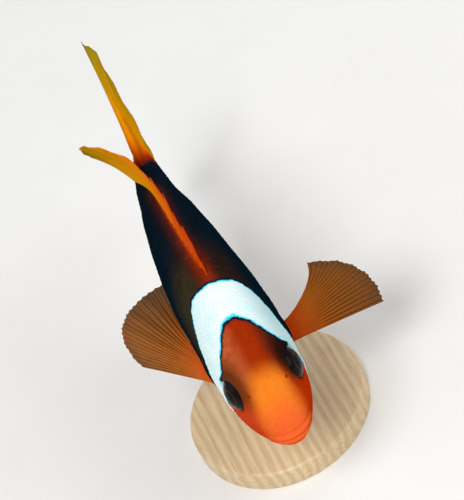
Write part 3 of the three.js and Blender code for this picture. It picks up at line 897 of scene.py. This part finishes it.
def fin_surface(
    ray, rays, rng, thick, fleshy, steps=46, spines=False, notch=0.012, fleshy_share=0.13
):
    """Points on a fin's two faces; for one face, shares across the rays and along them, how much
    a point belongs to a ray, and the mm from its root.

    A ray adds "thick" mm near its root. Flesh adds "fleshy" mm to each face at the root and gives
    out at about fleshy_share of the way. Between rays the fin is shorter by the share "notch".
    """
    columns = (rays - 1) * RAY_COLUMNS + 1
    f, v = grid(np.linspace(0, 1, columns), np.linspace(0, 1, steps))
    number = f * (rays - 1)
    whole = np.floor(number + 1e-9).astype(int)
    phase = np.clip(number - whole, 0, 1)
    dip = notch * np.sin(math.pi * phase) ** (0.8 if spines else 1.2)
    short = rng.uniform(0, RAGGED, rays + 1)
    uneven = lerp(short[whole], short[np.minimum(whole + 1, rays)], smooth(0, 1, phase))
    reach = v * (1 - dip - uneven)

    def at(a, b):
        return world(ray(np.clip(a, 0, 1), b))

    small = 1e-3
    across = at(f + small, reach) - at(f - small, reach)
    outward = at(f, reach + small) - at(f, reach - small)
    normal = unit(np.cross(across, outward))
    length = np.linalg.norm(at(f, np.ones_like(v)) - at(f, np.zeros_like(v)), axis=-1) * 1000
    spacing = np.linalg.norm(across, axis=-1) / (2 * small) / (rays - 1) * 1000  # mm
    ridge = ray_ridge(phase, v, lerp(0.24, 0.06, v) / np.maximum(spacing, 0.35), spines)
    ridge *= smooth(0, 0.2, v)
    root = fleshy * bump(v, 0, fleshy_share)
    half = MEMBRANE / 2 + lerp(thick, EDGE_THICKNESS, smooth(0, 0.8, v)) / 2 * ridge + root
    ripple = 0.16 * np.sin(number * 1.9 + 5 * v) * v + 0.1 * np.sin(number * 0.7 + 2) * v
    ripple *= np.minimum(8 * f * (1 - f), 1)  # none on the first and last rays
    centre = at(f, reach) + normal * (0.001 * ripple)[..., None]
    offset = normal * (0.001 * half)[..., None]
    points = np.concatenate([(centre + offset).reshape(-1, 3), (centre - offset).reshape(-1, 3)])
    return points, f, v, ridge, v * length


def closed_sheet_faces(columns, steps):
    """Faces of a sheet with two sides and a wall all round."""
    count = columns * steps
    face = grid_faces(columns, steps)
    index = np.arange(count).reshape(columns, steps)
    rim = np.concatenate([index[0], index[1:, -1], index[-1, -2::-1], index[-2:0:-1, 0]])
    following = np.roll(rim, -1)
    walls = np.stack([rim, following, following + count, rim + count], -1)
    return np.concatenate([face[:, ::-1], face + count, walls])


def build_fin(name, ray, rays, material, node_name, slot, paint, seed, **shape):
    """A closed thin fin whose rays are ridges on both of its faces; fin_surface has its shape."""
    points, f, v, ridge, walk = fin_surface(ray, rays, np.random.default_rng(seed), **shape)
    values = {"ray": ridge, "reach": v, "walk": walk}
    values = {key: np.tile(numbers.ravel(), 2) for key, numbers in values.items()}
    colours = np.tile(paint(f, v, ridge).reshape(-1, 3), (2, 1))
    make_piece(name, points, closed_sheet_faces(*f.shape), material, [node_name], values, colours)


def painted_fin(stops, ray_code, ray_share=0.75):
    """A fin's paint from (share of the way out, sRGB code) and its rays' own code and share."""
    shares = [share for share, _ in stops]
    colours = np.array([srgb(code) for _, code in stops])
    ray_colour = srgb(ray_code)

    def paint(f, v, ridge):
        eased = np.stack([np.interp(v, shares, colours[:, k]) for k in range(3)], -1)
        return over(eased, (ray_colour, ridge * ray_share * smooth(0, 0.35, v)))

    return paint


def dorsal_paint(part_from, part_to):
    """Red-orange at the front, through orange to yellow-ochre on the rear lobe, redder at the root."""

    def paint(f, v, ridge):
        back = lerp(part_from, part_to, f)
        return over(
            DORSAL_RED,
            (DORSAL_ORANGE, smooth(0.1, 0.5, back)),
            (DORSAL_YELLOW, smooth(0.38, 0.68, back) * smooth(-0.2, 0.4, v)),
            (DORSAL_OLIVE, 0.9 * smooth(0.58, 0.92, back) * smooth(0.5, 1, v)),
            (FIN_ROOT_RED, 0.55 * bump(v, 0, 0.14)),
            (FIN_ROOT_RED, 0.6 * smooth(0.95, 1, v) * smooth(0.5, 0.35, back)),
            (DORSAL_RAY, ridge * lerp(0.4, 0.18, smooth(0.55, 0.8, back))),
        )

    return paint


def fin_material(name, clear):
    """Satin fin skin, clearer between the rays towards the edge."""
    material, tree = new_material(name)
    ground = mottled_ground(tree, 700, 0.16, FIN_MOTTLE)
    segments = maths(tree, "SINE", maths(tree, "MULTIPLY", reading(tree, "walk"), 9))
    ray = reading(tree, "ray")
    bars = maths(tree, "MULTIPLY", between(tree, segments, 0.6, 1), ray)
    ground = blend(tree, maths(tree, "MULTIPLY", bars, 0.25), ground, FIN_BARS)
    reach = between(tree, reading(tree, "reach"), 0.2, 0.9)
    see = maths(tree, "MULTIPLY", maths(tree, "SUBTRACT", 1, ray), reach)
    alpha = maths(tree, "SUBTRACT", 1, maths(tree, "MULTIPLY", see, clear))
    height = maths(tree, "ADD", maths(tree, "MULTIPLY", bars, -0.4), noise(tree, 5000, 2))
    normal = bump_normal(tree, height, 0.00005, 0.5)
    return shaded(
        material, Base_Color=ground, Roughness=0.45, Specular_IOR_Level=0, Alpha=alpha, Normal=normal
    )


FIN_ROOT_RED = srgb("7a1a06")
DORSAL_RED = srgb("d0480f")
DORSAL_ORANGE = srgb("f07810")
DORSAL_YELLOW = srgb("d8940c")
DORSAL_OLIVE = srgb("84760c")
DORSAL_RAY = srgb("b04a08")
BLACK_STOPS = [(0, "14100f"), (0.5, "0c0e11"), (1, "080d11")]
TAIL_STOPS = [
    (0, "180c08"), (0.07, "8a2206"), (0.15, "d45c04"), (0.24, "f28a04"),
    (0.42, "ea9a04"), (0.65, "be900a"), (1, "8a8016"),
]
# the left pectoral and its rays are painted darker than the right ones: painted shade on the left fin
PECTORAL_LIT_AND_SHADED_STOPS = {
    LEFT: [(0, "bc3c0c"), (0.2, "b44006"), (0.45, "703606"), (0.75, "4a2e0e"), (1, "3a2c1c")],
    RIGHT: [(0, "c4420c"), (0.2, "c44a0a"), (0.45, "8c4408"), (0.75, "603a12"), (1, "4a3826")],
}
PECTORAL_LIT_AND_SHADED_RAY = {LEFT: "a65e20", RIGHT: "cc7c3a"}


def build_fins():
    clear_fin = fin_material("fin_clear", 0.16)
    solid_fin = fin_material("fin_solid", 0)
    black = painted_fin(BLACK_STOPS, "1e1a1a")
    tail_paint = painted_fin(TAIL_STOPS, "b06808", 0.35)

    def yellower_middle(f, v, ridge):
        """The tail's paint; the middle of its rear edge stays yellower than the two corners."""
        return tail_paint(f, v * lerp(0.62, 1, np.abs(1 - 2 * f)), ridge)

    spiny = DORSAL["spiny"]
    build_fin(
        "dorsal_fin_spines", lambda f, v: dorsal_ray(f * spiny, v), DORSAL["spines"], solid_fin,
        "dorsal_fin_spiny", "fin_orange", dorsal_paint(0, spiny), 11,
        steps=34, spines=True, notch=0.14, thick=0.8, fleshy=0.75,
    )
    build_fin(
        "dorsal_fin_rays", lambda f, v: dorsal_ray(lerp(spiny, 1, f), v), DORSAL["rays"], solid_fin,
        "dorsal_fin_soft", "fin_orange", dorsal_paint(spiny, 1), 12,
        thick=0.5, fleshy=0.6,
    )
    build_fin(
        "anal_fin_rays", anal_ray, ANAL["rays"], solid_fin, "anal_fin", "fin_dark", black, 13,
        thick=0.6, fleshy=0.6,
    )
    build_fin(
        "tail_fin_rays", tail_ray, TAIL_RAYS, solid_fin, "tail_fin", "fin_yellow", yellower_middle, 14,
        steps=60, thick=0.8, fleshy=0.75, fleshy_share=0.52,
    )
    # the left pectoral gets the darker paint, as painted shade
    for side, ray in ((LEFT, left_pectoral), (RIGHT, right_pectoral)):
        word = SIDE_NAMES[side]
        build_fin(
            f"pectoral_{word}_rays", ray, PECTORAL_RAYS, clear_fin, f"pectoral_fin_{word}",
            "fin_orange", painted_fin(PECTORAL_LIT_AND_SHADED_STOPS[side], PECTORAL_LIT_AND_SHADED_RAY[side], 0.6), 20 + side,
            steps=52, thick=0.42, fleshy=0.8,
        )
        build_fin(
            f"pelvic_{word}_rays", pelvic_ray(side), PELVIC_RAYS, solid_fin, f"pelvic_fin_{word}",
            "fin_dark", black, 30 + side,
            steps=36, notch=0.07, thick=0.6, fleshy=0.4,
        )


# ---- Eyes ----

PUPIL, IRIS = 1.75, 3.3  # radii in mm
EYE_TRIM = 0.04  # mm, how much slimmer than its radius the eyeball is
CORNEA = {"bulge": 0.16, "width": 1.9}  # mm


def eye_material():
    material, tree = new_material("wet_eye")
    out = maths(tree, "ADD", reading(tree, "out"), maths(tree, "MULTIPLY", noise(tree, 900, 3), 0.35))
    streak = noise(tree, 1800, 4, 0.7)
    iris = blend(tree, streak, rgba("070a0f"), rgba("1a1210"))
    iris = blend(tree, between(tree, out, PUPIL + 1.5, IRIS + 0.2), iris, rgba("041019"))
    ring = blend(tree, between(tree, out, PUPIL + 0.7, PUPIL + 0.32), iris, rgba("3a1f0d"))
    colour = blend(tree, between(tree, out, PUPIL + 0.3, PUPIL + 0.18), ring, rgba("02040a"))
    return shaded(material, Base_Color=colour, Roughness=0.06, Specular_IOR_Level=0.07)


def build_eye(side, material):
    """An eyeball, with the cornea's bulge over its pupil."""
    centre, outward, across, rise = EYE_FRAMES[side]
    rings, spokes = 48, 72
    polar, turn = grid(np.linspace(1e-4, math.pi - 1e-4, rings), circle(spokes))
    radius = (EYE["radius"] - EYE_TRIM) * np.sin(polar)
    cornea = CORNEA["bulge"] * bump(radius, 0, CORNEA["width"]) * (polar < 1.5)
    depth = EYE["bulge"] - EYE["depth"] + EYE["depth"] * np.cos(polar) + cornea
    local = np.stack([depth, radius * np.cos(turn), radius * np.sin(turn)], -1)
    p = centre + local @ np.array([outward, across, rise]) * MM
    out = np.where(polar < math.pi / 2, radius, 2 * EYE["radius"] - radius)
    faces = grid_faces(rings, spokes, closed=True)
    if side < 0:
        faces = faces[:, ::-1]
    word = SIDE_NAMES[side]
    points = world(p).reshape(-1, 3)
    make_piece(f"eyeball_{word}", points, faces, material, [f"eye_{word}"], {"out": out})


# ---- Stand ----


def wood_material():
    material, tree = new_material("maple")
    stretched = place(tree, (1, 0.07, 1))
    grain = noise(tree, 1600, 5, 0.65, stretched)
    inputs = {"Vector": stretched, "Scale": 150, "Distortion": 5, "Detail": 4, "Detail Scale": 1.2}
    wave = node(tree, "TexWave", inputs, bands_direction="X").outputs["Fac"]
    colour = blend(tree, between(tree, wave, 0, 1, 0, 0.55), rgba("dcc6a0"), rgba("c3a070"))
    colour = blend(tree, between(tree, grain, 0.45, 0.75, 0, 0.5), colour, rgba("a98556"))
    normal = bump_normal(tree, grain, 0.0001, 0.3)
    return shaded(material, Base_Color=colour, Roughness=0.42, Specular_IOR_Level=0.4, Normal=normal)


def steel_material():
    material, tree = new_material("brushed_steel")
    brushed = noise(tree, 4000, 3, 0.5, place(tree, (1, 1, 0.04)))
    colour = blend(tree, brushed, rgba("b9bcc0"), rgba("d5d7d9"))
    rough = between(tree, brushed, 0.2, 0.8, 0.22, 0.38)
    return shaded(material, Base_Color=colour, Metallic=1, Roughness=rough)


def turned(name, profile, centre, material, replaced, spokes=128):
    """A turned piece from (radius, height) pairs in metres."""
    radii, heights = np.array(profile).T[..., None]
    turn = circle(spokes)
    x, y = centre[0] + radii * np.cos(turn), centre[1] + radii * np.sin(turn)
    rings = np.stack([x, y, heights + 0 * turn], -1)
    faces = grid_faces(len(profile), spokes, closed=True)
    make_piece(name, rings.reshape(-1, 3), faces, material, replaced)


def rounded(radius, low, high, edge):
    """A disc's profile whose upper edge is rounded, and its lower edge half as much."""
    corners = []
    for size, middle, start in ((edge / 2, low + edge / 2, -90), (edge, high - edge, 0)):
        for angle in np.radians(np.linspace(start, start + 90, 6)):
            corners.append((radius - size + size * math.cos(angle), middle + size * math.sin(angle)))
    return [(AXIS, low), (radius * 0.5, low), *corners, (radius * 0.5, high), (AXIS, high)]


AXIS = 1e-5  # the radius of a turned piece's ends, in metres
DISC_EDGE = 0.0008
# the rod's foot: how much wider it is than the rod, and how far above its underside, in metres
FOOT_DEPTH = 0.0003  # below the solid rod's lower end
FOOT = [(0.0011, 0), (0.0011, 0.0005), (0.0008, 0.0008), (0.0001, 0.0009), (0, 0.0011)]


def centre_and_radius(low, high):
    """A round piece's axis and radius from its box."""
    return ((low.x + high.x) / 2, (low.y + high.y) / 2), (high.x - low.x) / 2


def build_stand():
    low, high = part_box("stand_base")
    centre, radius = centre_and_radius(low, high)
    profile = rounded(radius, low.z, high.z, DISC_EDGE)
    turned("stand_disc", profile, centre, wood_material(), ["stand_base"])
    low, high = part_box("stand_rod")
    centre, radius = centre_and_radius(low, high)
    foot = low.z - FOOT_DEPTH
    profile = [(radius + wider, foot + above) for wider, above in FOOT]
    profile = [(AXIS, foot), *profile, (radius, high.z), (AXIS, high.z)]
    turned("stand_pin", profile, centre, steel_material(), ["stand_rod"], 64)


# ---- Floor, light and camera ----


def build_floor():
    material, tree = new_material("pale_floor")
    colour = blend(tree, noise(tree, 40, 4, 0.6), rgba("e4e4e2"), rgba("ececea"))
    shaded(material, Base_Color=colour, Roughness=0.8, Specular_IOR_Level=0.2)
    bpy.ops.mesh.primitive_plane_add(size=6)
    floor = bpy.context.object
    floor.name = "floor"
    floor.data.materials.append(material)


WORLD_LEVEL = 0.34
# each lamp's size in m, power in W, and place from the body's middle in m
LAMPS = {
    "key": (0.3, 4.15, (-0.2, -0.42, 0.62)),
    "fill": (0.6, 1.7, (0.5, -0.2, 0.42)),
    "side": (0.5, 0.45, (-0.5, 0.1, 0.3)),
    "rear": (0.5, 0.9, (0.2, 0.5, 0.35)),
}


def build_light():
    scene = bpy.context.scene
    scene.world = bpy.data.worlds.new("studio")
    scene.world.use_nodes = True
    surround = scene.world.node_tree.nodes["Background"]
    surround.inputs["Color"].default_value = (1, 1, 1, 1)
    surround.inputs["Strength"].default_value = WORLD_LEVEL
    middle = world((0.4, 0, 0))
    for name, (size, power, offset) in LAMPS.items():
        data = bpy.data.lights.new(name, "AREA")
        data.shape = "DISK"
        data.size = size
        data.energy = power
        light = bpy.data.objects.new(name, data)
        scene.collection.objects.link(light)
        light.location = middle + offset
        light.rotation_euler = (Vector(middle) - light.location).to_track_quat("-Z", "Y").to_euler()


CAMERA_RISE = math.radians(48)  # the line of sight to the snout, above the fish's axis
CAMERA_REACH = 5  # its length, in SL
FRAME_LENS = 156.6  # mm, on a film whose long side is the image's
FILM = 36  # mm, that long side
SNOUT_IN_FRAME = (0.128, -0.374)  # right of and above the middle, as shares of the long side
TAIL_TURN = math.radians(29.2)  # the fish's axis leans this far left of upright in the image


def build_camera():
    """Aims the camera so that the snout and the fish's axis lie in the image as named above."""
    sight = np.array([0, math.cos(CAMERA_RISE), -math.sin(CAMERA_RISE)])
    rising = np.array([0, math.sin(CAMERA_RISE), math.cos(CAMERA_RISE)])
    ray = unit(np.array([*SNOUT_IN_FRAME, -FRAME_LENS / FILM]))
    lean = np.array([-math.sin(TAIL_TURN), math.cos(TAIL_TURN), 0])
    lean = unit(lean - ray * (lean @ ray))
    seen = np.stack([sight, rising, np.cross(sight, rising)], 1)
    local = np.stack([ray, lean, np.cross(ray, lean)], 1)
    turn = seen @ local.T
    data = bpy.data.cameras.new("camera")
    data.lens = FRAME_LENS
    data.sensor_width = FILM
    camera = bpy.data.objects.new("camera", data)
    bpy.context.scene.collection.objects.link(camera)
    matrix = Matrix(turn.tolist()).to_4x4()
    matrix.translation = Vector(world((0, 0, 0)) - sight * CAMERA_REACH * SL)
    camera.matrix_world = matrix
    bpy.context.scene.camera = camera


# ---- The scene ----

bpy.context.scene.view_settings.view_transform = "Standard"
skin = skin_material()
build_skin(skin)
for flank, word in SIDE_NAMES.items():
    build_scales(f"scales_{word}", flank, BODY_SCALE, skin, 5 + flank)
    build_scales(f"head_scales_{word}", flank, HEAD_SCALE, skin, 8 + flank)
build_fins()
wet = eye_material()
for flank in SIDE_NAMES:
    build_eye(flank, wet)
build_stand()
build_floor()
build_light()
build_camera()
